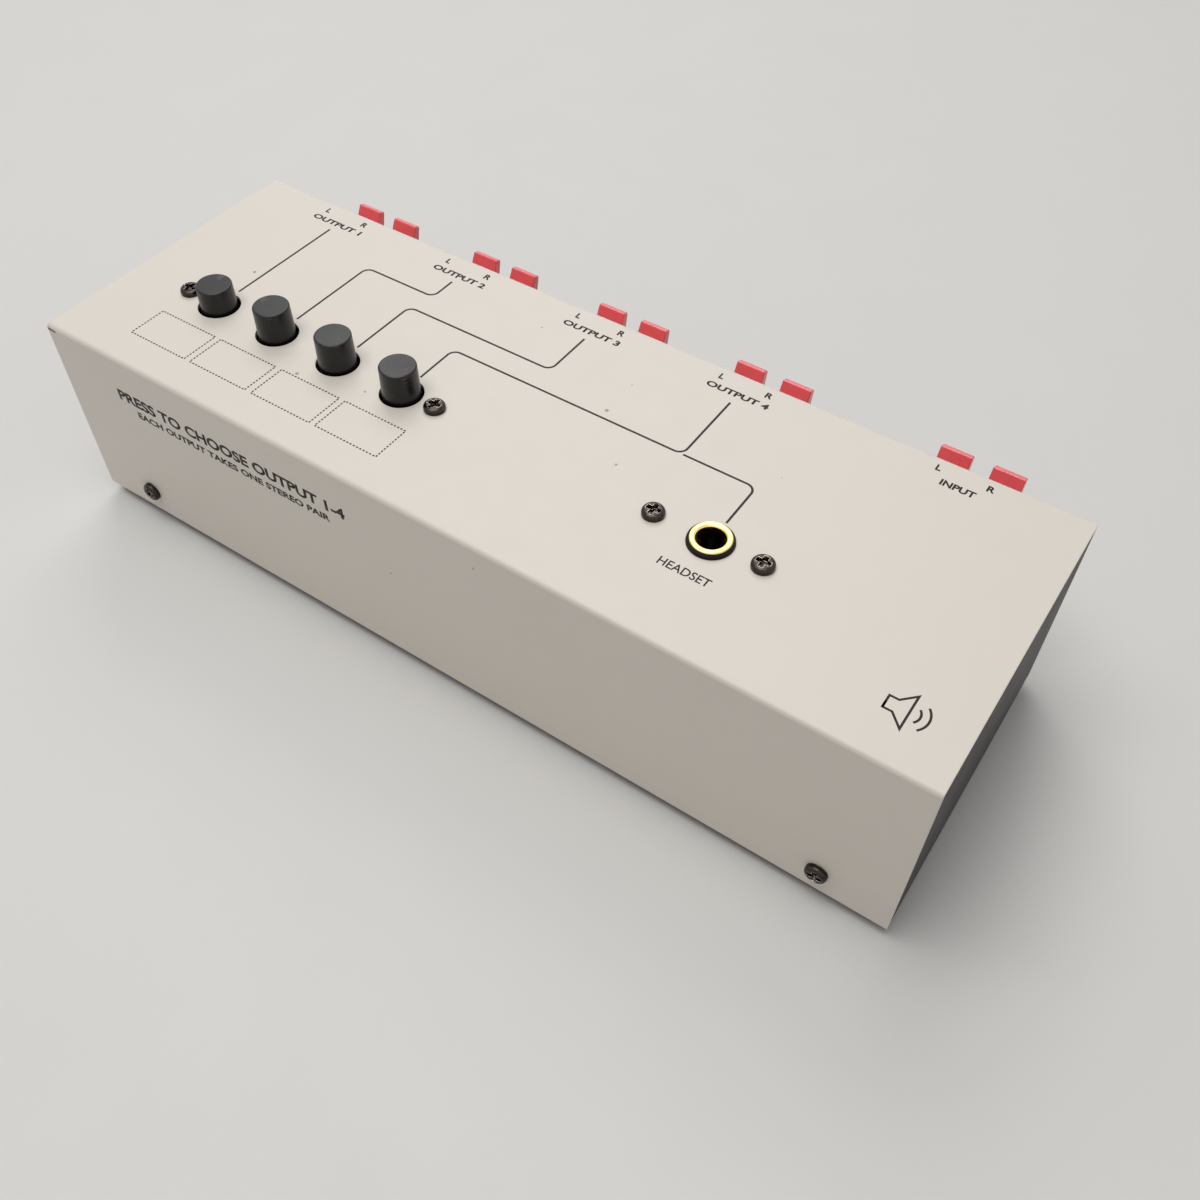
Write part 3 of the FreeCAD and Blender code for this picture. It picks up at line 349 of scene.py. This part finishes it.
def finish_mesh(mesh, name):
    """A mesh datablock from a bmesh, with its normals pointing outwards."""
    bmesh.ops.recalc_face_normals(mesh, faces=mesh.faces)
    data = bpy.data.meshes.new(name)
    mesh.to_mesh(data)
    mesh.free()
    return data


def arc(centre, radius, start, end, steps=8):
    """Points of an arc between two angles in degrees."""
    angles = [math.radians(start + (end - start) * i / steps) for i in range(steps + 1)]
    return [(centre[0] + radius * math.cos(a), centre[1] + radius * math.sin(a)) for a in angles]


def rounded_path(points, radius, steps=8):
    """The points with an arc at each inner corner."""
    path = [points[0]]
    for before, here, after in zip(points, points[1:], points[2:]):
        back, ahead = (before - here).normalized(), (after - here).normalized()
        half = back.angle(ahead) / 2
        reach = radius / math.tan(half)
        centre = here + (back + ahead).normalized() * (radius / math.sin(half))
        start, end = here + back * reach - centre, here + ahead * reach - centre
        turn = start.angle_signed(end)
        path += [centre + Matrix.Rotation(-turn * i / steps, 2) @ start for i in range(steps + 1)]
    return path + [points[-1]]


def add_ribbon(mesh, path, width):
    """A flat strip of ink on the cover's top along a path, as a closed thin solid."""
    directions = [(b - a).normalized() for a, b in zip(path, path[1:])]
    rows = []
    for i, point in enumerate(path):
        before, after = directions[max(i - 1, 0)], directions[min(i, len(directions) - 1)]
        along = (before + after).normalized()
        side = Vector((-along.y, along.x)) * width / 2 / max(along.dot(before), MITRE_LEAST)
        rows.append([mesh.verts.new((*place, height)) for height in (COVER_TOP, COVER_TOP + INK_THICKNESS)
                     for place in (point + side, point - side)])
    for near, far in zip(rows, rows[1:]):
        low_left, low_right, high_left, high_right = near
        far_low_left, far_low_right, far_high_left, far_high_right = far
        mesh.faces.new((high_left, high_right, far_high_right, far_high_left))
        mesh.faces.new((low_right, low_left, far_low_left, far_low_right))
        mesh.faces.new((low_left, high_left, far_high_left, far_low_left))
        mesh.faces.new((high_right, low_right, far_low_right, far_high_right))
    for low_left, low_right, high_left, high_right in (rows[0], rows[-1]):
        mesh.faces.new((low_left, low_right, high_right, high_left))


def add_words(mesh, words, centre, height, width, place=top_place, weight=0.035):
    """One line of lettering, cap height and overall width in mm, centred at centre.
    place turns its own flat coordinates, in mm, into a point. weight thickens the strokes."""
    curve = bpy.data.curves.new("words", "FONT")
    curve.body = words
    curve.resolution_u = 4
    curve.offset = weight
    holder = bpy.data.objects.new("words", curve)
    letters = bpy.data.meshes.new_from_object(holder)
    xs = [v.co.x for v in letters.vertices]
    middle = (min(xs) + max(xs)) / 2
    x_gain = width / (max(xs) - min(xs))
    y_gain = height / max(v.co.y for v in letters.vertices)
    for v in letters.vertices:
        v.co = place(centre[0] + (v.co.x - middle) * x_gain, centre[1] + v.co.y * y_gain - height / 2)
    bpy.data.objects.remove(holder)
    bpy.data.curves.remove(curve)
    before = len(mesh.faces)
    mesh.from_mesh(letters)
    bpy.data.meshes.remove(letters)
    mesh.faces.ensure_lookup_table()
    inward = (place(0, 0) - place(1, 0)).cross(place(0, 1) - place(0, 0)).normalized()
    lifted = bmesh.ops.extrude_face_region(mesh, geom=mesh.faces[before:])["geom"]
    bmesh.ops.translate(mesh, vec=-inward * INK_THICKNESS,
                        verts=[part for part in lifted if isinstance(part, bmesh.types.BMVert)])


def add_channel(mesh, words, x, height, width, side_xs):
    """The legend of one pair of terminals, with L and R nearer the back edge."""
    add_words(mesh, words, (x, CHANNEL_Y), height, width)
    for (letter, letter_width), side_x in zip(SIDE_WIDTHS.items(), side_xs):
        add_words(mesh, letter, (side_x, SIDE_Y), SIDE_CAPS, letter_width)


ink = surface("printing_ink", linear(32, 26, 22), roughness=0.5, grain=(3000.0, 0.006),
              mottle=(900.0, 0.06), Specular_IOR_Level=0.25)

LINE_ROUTES = [
    [(29.9, LINE_START), (29.9, 41.1)],
    [(50.1, LINE_START), (50.1, 33.3), (72.2, 33.3), (72.2, 41.1)],
    [(70.1, LINE_START), (70.1, 26.6), (113.9, 26.6), (113.9, 41.0)],
    [(90.0, LINE_START), (90.0, 19.4), (155.5, 19.4), (155.5, 40.7)],
    [(155.7, 19.4), (174.4, 19.4), (174.4, 6.5)],
]
lines = bmesh.new()
for route in LINE_ROUTES:
    add_ribbon(lines, rounded_path([on_top(*point) for point in route], LINE_CORNER), LINE_WIDTH)
new_object("printed_lines", finish_mesh(lines, "printed_lines"), ink)

frames = bmesh.new()
for start in FRAME_STARTS:
    low = Vector((start, FRAME_FRONT))
    corners = [low, low + Vector((FRAME_SIZE.x, 0)), low + FRAME_SIZE, low + Vector((0, FRAME_SIZE.y))]
    for a, b in zip(corners, corners[1:] + corners[:1]):
        first, last = on_top(*a), on_top(*b)
        run = (last - first).normalized()
        count = round((last - first).length / (DASH_LENGTH + DASH_GAP))
        pitch = (last - first).length / count
        for i in range(count):
            begin = first + run * pitch * i
            add_ribbon(frames, [begin, begin + run * DASH_LENGTH], DASH_WIDTH)
new_object("label_frames", finish_mesh(frames, "label_frames"), ink)

legends = bmesh.new()
for number, x in enumerate(OUTPUT_X, start=1):
    add_channel(legends, f"OUTPUT {number}", x, height=1.85, width=16.6,
                side_xs=(x - SIDE_OFFSET, x + SIDE_OFFSET))
add_channel(legends, "INPUT", INPUT_X, height=1.9, width=8.2, side_xs=(204.8, 217.1))
add_words(legends, "HEADSET", (174.2, -10.3), height=2.2, width=12.4, weight=0.01)
new_object("top_legends", finish_mesh(legends, "top_legends"), ink)

titles = bmesh.new()
add_words(titles, "PRESS TO CHOOSE OUTPUT 1-4", (TITLE_X, 41.75), height=3.3, width=75.3, place=front_place)
add_words(titles, "EACH OUTPUT TAKES ONE STEREO PAIR", (TITLE_X, 37.3), height=2.0, width=64.5,
          place=front_place)
new_object("front_titles", finish_mesh(titles, "front_titles"), ink)

sign = bmesh.new()
for stroke in [SIGN_BODY] + [arc(SIGN_WAVE_CENTRE, radius, -SIGN_WAVE_SPREAD, SIGN_WAVE_SPREAD, steps=16)
                             for radius in SIGN_WAVE_RADII]:
    add_ribbon(sign, [on_top(*(SIGN_CORNER + Vector(point))) for point in stroke], SIGN_LINE)
new_object("corner_sign", finish_mesh(sign, "corner_sign"), ink)

# ---- Base ----------------------------------------------------------------
# Bottom and end plates folded from one sheet, sprayed satin black-brown. Their edges are lighter: partly
# worn paint, and partly a painted highlight that shows on the bend along the top of each end plate, beside
# the cover, as a thin lighter line.

SOFT_SAMPLES = 6


def build_soft_edges():
    """The normal with every sharp edge rounded off by Radius, as paint or a mould leaves it."""
    group, inside, out = new_group("soft_edges", [("Radius", "Float", 0.0002)], [("Normal", "Vector")])
    group.links.new(rounded_normal(group, inside.outputs["Radius"], SOFT_SAMPLES), out.inputs["Normal"])
    return group


GROUPS["soft_edges"] = build_soft_edges()
# The lighter edge colour is partly worn paint and partly a painted highlight on the bend at the top of each
# end plate.
base_paint = surface(
    "base_paint", linear(38, 36, 35), roughness=0.5, grain=(2200.0, 0.02), mottle=(60.0, 0.06), soft=0.2,
    marks=[("wear_and_highlit_edges", {"Radius": 0.4 * MM, "Amount": 0.5}, linear(104, 99, 92))], Specular_IOR_Level=0.2)
dress(base_paint, "base_chassis")

# ---- Feet ----------------------------------------------------------------
# Four pads of moulded black rubber. Each has a bulb that is pushed through a hole in
# the bottom plate and holds it there.

rubber = surface("foot_rubber", linear(36, 36, 37), roughness=0.85, grain=(2500.0, 0.03),
                 mottle=(300.0, 0.12))
dress(rubber, "rubber_feet")

# ---- Screws --------------------------------------------------------------
# Steel pan heads with a cross recess, in a dark bronze finish. Their edges are lighter, partly rubbed steel
# and partly painted highlights on the rims. They hold the case, the switch frame, the jack and the
# terminals.

# The bright edge colour is partly rubbed steel and partly painted highlights on the rims.
screw_steel = surface(
    "screw_steel", linear(58, 52, 48), roughness=0.18, grain=(4000.0, 0.02), spread=0.10,
    mottle=(1500.0, 0.30), soft=0.08, Metallic=1.0,
    marks=[("wear_and_highlit_edges", {"Radius": 0.22 * MM, "Amount": 0.9}, linear(220, 212, 202))])
dress(screw_steel, "panel_screws")

# ---- Push switches -------------------------------------------------------
# A zinc-plated strip carries four moulded switch bodies. In each an ivory plunger
# slides on a coil spring, held by a bent latch wire, under a satin black cap.

SCUFF_STRETCH = (0.12, 0.12, 1.0)
SCUFF_LINES = 2800.0
SCUFF_LINE_LEVEL = 0.60
SCUFF_PATCHES = 170.0
SCUFF_PATCH_LEVEL = 0.56
SCUFF_SHARPNESS = 12.0
SPRING_WIRE = 0.5 * MM
SPRING_TURNS = 5
SPRING_STEPS = 28
WIRE_SIDES = 10
UPWARD = Vector((0, 0, 1))


def build_scuffs():
    """Mask of fine level scratches in a few patches, as fingers and nails leave on a button."""
    group, inside, out = new_group("scuffs", [("Amount", "Float", 0.5)], [("Mask", "Float")])
    level = vector_node(group, "MULTIPLY", object_place(group), SCUFF_STRETCH)
    strokes = noise_node(group, SCUFF_LINES, detail=1.0, place=level)
    line = above(group, strokes, SCUFF_LINE_LEVEL, SCUFF_SHARPNESS)
    patch = above(group, noise_node(group, SCUFF_PATCHES), SCUFF_PATCH_LEVEL, SCUFF_SHARPNESS)
    marks = math_node(group, "MULTIPLY", line, patch)
    group.links.new(math_node(group, "MULTIPLY", marks, inside.outputs["Amount"]), out.inputs["Mask"])
    return group


def skin_rings(mesh, rings):
    """Smooth faces between each ring of points and the next."""
    for ring, following in zip(rings, rings[1:]):
        for i in range(len(ring)):
            j = (i + 1) % len(ring)
            mesh.faces.new((ring[i], following[i], following[j], ring[j])).smooth = True


def wound_spring(name, low, high):
    """A coil of round wire that fills a box, wound as a right-handed screw and cut square at its ends."""
    mesh = bmesh.new()
    middle, radius = (low + high) / 2, (high.x - low.x - SPRING_WIRE) / 2
    rise = high.z - low.z - SPRING_WIRE
    count = SPRING_TURNS * SPRING_STEPS
    wire_turns = [2 * math.pi * side / WIRE_SIDES for side in range(WIRE_SIDES)]
    rings = []
    for i in range(count + 1):
        angle = 2 * math.pi * i / SPRING_STEPS
        outward = Vector((math.cos(angle), math.sin(angle), 0))
        centre = Vector((middle.x, middle.y, low.z + SPRING_WIRE / 2 + rise * i / count)) + outward * radius
        spokes = [outward * math.cos(turn) + UPWARD * math.sin(turn) for turn in wire_turns]
        rings.append([mesh.verts.new(centre + spoke * SPRING_WIRE / 2) for spoke in spokes])
    skin_rings(mesh, rings)
    mesh.faces.new(rings[0])
    mesh.faces.new(rings[-1][::-1])
    return finish_mesh(mesh, name)


GROUPS["scuffs"] = build_scuffs()
zinc = surface("zinc_plate", linear(176, 178, 180), roughness=0.32, grain=(900.0, 0.01),
               mottle=(200.0, 0.08), Metallic=1.0)
switch_plastic = surface("switch_plastic", linear(38, 38, 40), roughness=0.55, grain=(1800.0, 0.02),
                         mottle=(200.0, 0.05))
ivory = surface("ivory_plastic", linear(226, 221, 208), roughness=0.4, mottle=(150.0, 0.03))
spring_steel = surface("spring_steel", linear(170, 172, 176), roughness=0.22, grain=(3000.0, 0.01),
                       mottle=(900.0, 0.08), Metallic=1.0)
contact_brass = surface("contact_brass", linear(205, 178, 110), roughness=0.25, grain=(2500.0, 0.01),
                        mottle=(500.0, 0.12), Metallic=1.0)
cap_plastic = surface(
    "cap_plastic", linear(9, 9, 9), roughness=0.30, grain=(2200.0, 0.012), spread=0.06,
    mottle=(250.0, 0.08), soft=0.2, Specular_IOR_Level=0.4,
    marks=[("wear_and_highlit_edges", {"Radius": 0.2 * MM, "Amount": 0.25}, linear(80, 77, 75)),
           ("scuffs", {"Amount": 0.5}, linear(96, 93, 90))])
dress(zinc, "switch_frame")
for number in range(1, 5):
    dress(switch_plastic, f"switch_body_{number}")
    dress(ivory, f"plunger_{number}")
    dress(contact_brass, f"contact_slide_{number}")
    dress(cap_plastic, f"button_cap_{number}")
    foot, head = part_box(f"switch_spring_{number}")
    spring = new_object(f"return_spring_{number}", wound_spring(f"return_spring_{number}", foot, head),
                        spring_steel, body=None)
    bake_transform(spring)
    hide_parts(f"switch_spring_{number}")
dress(spring_steel, "latch_wires")
dress(contact_brass, "switch_pins")

# ---- Circuit board -------------------------------------------------------
# A plate of brown paper laminate. It stands behind the switches, soldered to their
# pins, and joins them.

laminate = surface("board_laminate", linear(150, 108, 62), roughness=0.5, grain=(1200.0, 0.01),
                   mottle=(120.0, 0.08))
dress(laminate, "switch_board")

# ---- Headphone jack ------------------------------------------------------
# A black moulding screwed under the cover, with a polished gold bush for the plug,
# three sprung leaves inside, and dropping resistors in its hot wires.

BUSH_SEGMENTS = 96
BUSH_CROWN = 0.35 * MM
BUSH_MOUTH = 0.6 * MM
BUSH_BORE = 3.25 * MM


def turned(name, profile, axis, segments):
    """A closed profile of (distance from the axis, height), turned about an upright axis."""
    mesh = bmesh.new()
    rings = []
    for i in range(segments):
        angle = 2 * math.pi * i / segments
        rings.append([mesh.verts.new((axis.x + r * math.cos(angle), axis.y + r * math.sin(angle), z))
                      for r, z in profile])
    skin_rings(mesh, rings + rings[:1])
    return finish_mesh(mesh, name)


gold = surface("bush_gold", linear(252, 222, 138), roughness=0.16, grain=(1500.0, 0.004),
               mottle=(400.0, 0.05), Metallic=1.0)
bush_low, bush_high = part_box("jack_bush")
bush_radius = (bush_high.x - bush_low.x) / 2
bush_profile = (
    [(BUSH_BORE, bush_low.z), (bush_radius, bush_low.z)]
    + arc((bush_radius - BUSH_CROWN, bush_high.z - BUSH_CROWN), BUSH_CROWN, 0, 90)
    + arc((BUSH_BORE + BUSH_MOUTH, bush_high.z - BUSH_MOUTH), BUSH_MOUTH, 90, 180))
bush = new_object("bush", turned("bush", bush_profile, (bush_low + bush_high) / 2, BUSH_SEGMENTS), gold)
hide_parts("jack_bush")
jack_plastic = surface("jack_plastic", linear(14, 11, 14), roughness=0.42, grain=(1800.0, 0.012),
                       mottle=(200.0, 0.05), Specular_IOR_Level=0.15)
resistor_coat = surface("resistor_coat", linear(196, 174, 132), roughness=0.4, grain=(900.0, 0.02),
                        mottle=(400.0, 0.06))
dress(jack_plastic, "jack_body")
dress(contact_brass, "jack_contacts")
dress(resistor_coat, "jack_resistors")

# ---- Spring terminals ----------------------------------------------------
# Five black mouldings behind the back windows, each with two red levers over two
# black ones. A lever pressed down lets go of the bare wire in the hole beside it.

block_plastic = surface("block_plastic", linear(34, 34, 36), roughness=0.45, grain=(1600.0, 0.02),
                        mottle=(150.0, 0.05))
lever_red = surface("lever_red", linear(252, 90, 97), roughness=0.14, grain=(420.0, 0.03), spread=0.03,
                    mottle=(150.0, 0.04), soft=0.2, Coat_Weight=0.6)
lever_black = surface("lever_black", linear(30, 30, 32), roughness=0.18, grain=(420.0, 0.03),
                      mottle=(150.0, 0.04), soft=0.2, Coat_Weight=0.4)
for block in ("out1", "out2", "out3", "out4", "input"):
    dress(block_plastic, f"terminal_block_{block}")
    for side in ("left", "right"):
        dress(lever_red, f"lever_{block}_{side}_red")
        dress(lever_black, f"lever_{block}_{side}_black")
dress(contact_brass, "terminal_contacts")

# ---- Wiring --------------------------------------------------------------
# Insulated hook-up wire from the terminals and the jack to the board, red for the
# positive side and black for the negative side.

for name, colour in (("red", linear(190, 40, 36)), ("black", linear(34, 34, 36))):
    dress(surface(f"wire_{name}", colour, roughness=0.4, grain=(1200.0, 0.01), mottle=(200.0, 0.05)),
          f"wires_{name}")

# ---- Room ----------------------------------------------------------------
# A plain pale floor that runs out into a pale room, two wide soft lamps overhead,
# and the camera.

ROOM_COLOUR = (1.0, 0.99, 0.98, 1.0)
ROOM_LIGHT = 0.18
ROOM_SEEN = 0.95
FLOOR_SIZE = 12.0
FLOOR_FADE = (0.5, 2.4)
LAMP_SIZE = 1.0
LAMPS = [("softbox_high", Vector((-0.15, -0.22, 1.35)), 10.7),
         ("softbox_back", Vector((-0.60, 0.90, 1.30)), 7.0)]
CAMERA_PLACE = Vector((130.82, -172.10, 241.86)) * MM
CAMERA_RIGHT = Vector((0.82747823, 0.5614832, 0.00404929))
CAMERA_DOWN = Vector((0.43156285, -0.63136328, -0.64430886))
CAMERA_AHEAD = Vector((-0.35921203, 0.53489908, -0.76475466))
CAMERA_LENS = 35.976
CAMERA_SENSOR = 36.0
CAMERA_NEAR = 10 * MM


def seen_ray(tree):
    """1 for a ray that shows the room in the picture, in gloss or through glass, and 0 for its light."""
    rays = tree.nodes.new("ShaderNodeLightPath")
    seen = math_node(tree, "MAXIMUM", rays.outputs["Is Camera Ray"], rays.outputs["Is Glossy Ray"])
    return math_node(tree, "MAXIMUM", seen, rays.outputs["Is Transmission Ray"])


def fade_to_room(material):
    """Far from the object a floor is seen as the room's own colour, so that no horizon shows."""
    tree = material.node_tree
    distance = vector_node(tree, "LENGTH", object_place(tree))
    far = add_node(tree, "ShaderNodeMapRange", (distance, *FLOOR_FADE), interpolation_type="SMOOTHSTEP")
    share = math_node(tree, "MULTIPLY", far, seen_ray(tree))
    glow = add_node(tree, "ShaderNodeEmission", (ROOM_COLOUR, ROOM_SEEN))
    own = tree.nodes["Principled BSDF"].outputs["BSDF"]
    faded = add_node(tree, "ShaderNodeMixShader", (share, own, glow))
    tree.links.new(faded, tree.nodes["Material Output"].inputs["Surface"])


floor_mesh = bmesh.new()
bmesh.ops.create_grid(floor_mesh, x_segments=1, y_segments=1, size=FLOOR_SIZE / 2)
floor_finish = surface("floor_finish", linear(226, 225, 222), roughness=0.7, grain=(600.0, 0.02),
                       mottle=(4.0, 0.005))
fade_to_room(floor_finish)
floor = new_object("floor", finish_mesh(floor_mesh, "floor"), floor_finish)

for name, place, power in LAMPS:
    lamp_data = bpy.data.lights.new(name, "AREA")
    lamp_data.size = LAMP_SIZE
    lamp_data.energy = power
    lamp = bpy.data.objects.new(name, lamp_data)
    lamp.location = place
    lamp.rotation_mode = "QUATERNION"
    lamp.rotation_quaternion = (-place).to_track_quat("-Z", "Y")
    bpy.context.scene.collection.objects.link(lamp)

world = bpy.data.worlds.new("room")
world.use_nodes = True
background = world.node_tree.nodes["Background"]
background.inputs["Color"].default_value = ROOM_COLOUR
strength = math_node(world.node_tree, "MULTIPLY_ADD", seen_ray(world.node_tree), ROOM_SEEN - ROOM_LIGHT,
                     ROOM_LIGHT)
world.node_tree.links.new(strength, background.inputs["Strength"])
bpy.context.scene.world = world

camera_data = bpy.data.cameras.new("camera")
camera_data.lens = CAMERA_LENS
camera_data.sensor_width = CAMERA_SENSOR
camera_data.clip_start = CAMERA_NEAR
camera = bpy.data.objects.new("camera", camera_data)
turn = Matrix((CAMERA_RIGHT, -CAMERA_DOWN, -CAMERA_AHEAD)).transposed()
camera.matrix_world = Matrix.Translation(CAMERA_PLACE) @ turn.to_4x4()
bpy.context.scene.collection.objects.link(camera)
bpy.context.scene.camera = camera
bpy.context.scene.view_settings.view_transform = "Standard"
